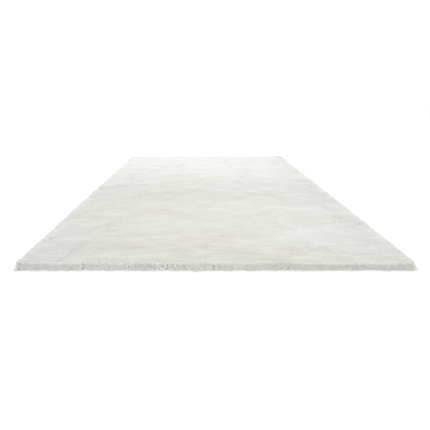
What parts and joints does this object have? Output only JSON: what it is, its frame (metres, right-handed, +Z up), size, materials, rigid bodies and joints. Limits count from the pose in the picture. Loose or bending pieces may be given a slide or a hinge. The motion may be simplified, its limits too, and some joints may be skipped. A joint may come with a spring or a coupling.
{
  "type": "shag rug",
  "caption": "Thick off-white shag rug, rectangular with slightly rounded corners, lying flat, with a lumpy long pile and ragged locks of pile along all its edges.",
  "frame": {"origin": "on the floor, under the middle of the rug", "axes": "+X across the rug's width, +Y along its length away from the near edge, +Z up"},
  "size_m": [1.5999, 2.3, 0.033],
  "materials": {
    "cream_pile": "soft matte long pile, off-white"
  },
  "bodies": {
    "root": {"shag_rug": "cream_pile"}
  },
  "joints": []
}
